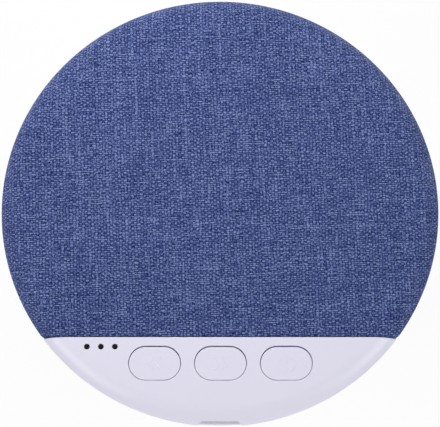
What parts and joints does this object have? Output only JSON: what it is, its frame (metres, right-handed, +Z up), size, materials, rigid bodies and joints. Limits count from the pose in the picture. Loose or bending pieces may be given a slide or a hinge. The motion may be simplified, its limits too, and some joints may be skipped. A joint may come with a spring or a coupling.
{
  "type": "white noise sound machine",
  "caption": "Low round sound machine with a cloth-covered loudspeaker face, a white panel of push buttons with indicator dots, and a recessed charging socket in the side.",
  "frame": {"origin": "on the table, under the middle of the disc", "axes": "+Z up through the cloth face, -Y towards the panel with the buttons and the socket, +X to the right as seen by someone facing the buttons"},
  "size_m": [0.1, 0.0998, 0.034],
  "materials": {
    "white_shell": "moulded ABS, fine satin",
    "white_key": "moulded ABS, fine satin",
    "grille_plastic": "moulded ABS, matt",
    "linen_cloth": "plain-weave linen-look speaker cloth",
    "dark_plastic": "moulded nylon",
    "switch_steel": "stamped cover",
    "smoked_lens": "smoked polycarbonate",
    "led_resin": "cast resin",
    "board_green": "solder mask on glass-epoxy",
    "plated_steel": "tin-plated sheet",
    "chip_resin": "moulded epoxy",
    "can_aluminium": "drawn can",
    "ceramic_parts": "fired ceramic",
    "connector_plastic": "moulded nylon",
    "lead_sleeve": "extruded sleeve",
    "cell_foil": "laminated foil pouch",
    "foam": "closed-cell foam",
    "basket_paint": "black coating on pressed steel",
    "ferrite": "sintered ferrite",
    "zinc_steel": "zinc-plated",
    "coil_copper": "wound enamelled wire",
    "cone_paper": "pressed paper",
    "surround_rubber": "moulded rubber",
    "spider_cloth": "resin-dipped cotton",
    "terminal_board": "phenolic board",
    "screw_steel": "nickel-plated",
    "foot_rubber": "moulded silicone"
  },
  "bodies": {
    "case": {"base_shell": "white_shell", "upper_case": "white_shell", "grille_plate": "grille_plastic", "grille_cloth": "linen_cloth", "switch_housings": "switch_steel", "indicator_lens": "smoked_lens", "indicator_leds": "led_resin", "main_pcb": "board_green", "usb_socket": "plated_steel", "usb_tongue": "dark_plastic", "sound_chip": "chip_resin", "amplifier_chip": "chip_resin", "charge_chip": "chip_resin", "capacitors": "can_aluminium", "passives": "ceramic_parts", "battery_connector": "connector_plastic", "speaker_connector": "connector_plastic", "battery_plug": "connector_plastic", "speaker_plug": "connector_plastic", "battery_leads": "lead_sleeve", "speaker_leads": "lead_sleeve", "battery_cell": "cell_foil", "battery_pad": "foam", "speaker_basket": "basket_paint", "speaker_magnet": "ferrite", "top_plate": "zinc_steel", "yoke": "zinc_steel", "cone_surround": "surround_rubber", "spider": "spider_cloth", "speaker_gasket": "foam", "speaker_terminals": "terminal_board", "speaker_screws": "screw_steel", "pcb_screws": "screw_steel", "case_screws": "screw_steel", "rubber_feet": "foot_rubber"},
    "back_key": {"back_button": "white_key", "back_plunger": "dark_plastic"},
    "forward_key": {"forward_button": "white_key", "forward_plunger": "dark_plastic"},
    "power_key": {"power_button": "white_key", "power_plunger": "dark_plastic"},
    "cone": {"speaker_cone": "cone_paper", "dust_cap": "cone_paper", "voice_coil": "coil_copper"}
  },
  "joints": [
    {"name": "back_press", "type": "slide", "parent": "case", "child": "back_key", "axis": [0, 0, -1], "range_m": [0, 0.00035], "stiffness_N_per_m": 1200, "springref_m": -0.0002},
    {"name": "forward_press", "type": "slide", "parent": "case", "child": "forward_key", "axis": [0, 0, -1], "range_m": [0, 0.00035], "stiffness_N_per_m": 1200, "springref_m": -0.0002},
    {"name": "power_press", "type": "slide", "parent": "case", "child": "power_key", "axis": [0, 0, -1], "range_m": [0, 0.00035], "stiffness_N_per_m": 1200, "springref_m": -0.0002},
    {"name": "cone_stroke", "type": "slide", "parent": "case", "child": "cone", "axis": [0, 0, 1], "range_m": [-0.0008, 0.0008], "stiffness_N_per_m": 900, "deforming": ["cone_surround", "spider"]}
  ]
}
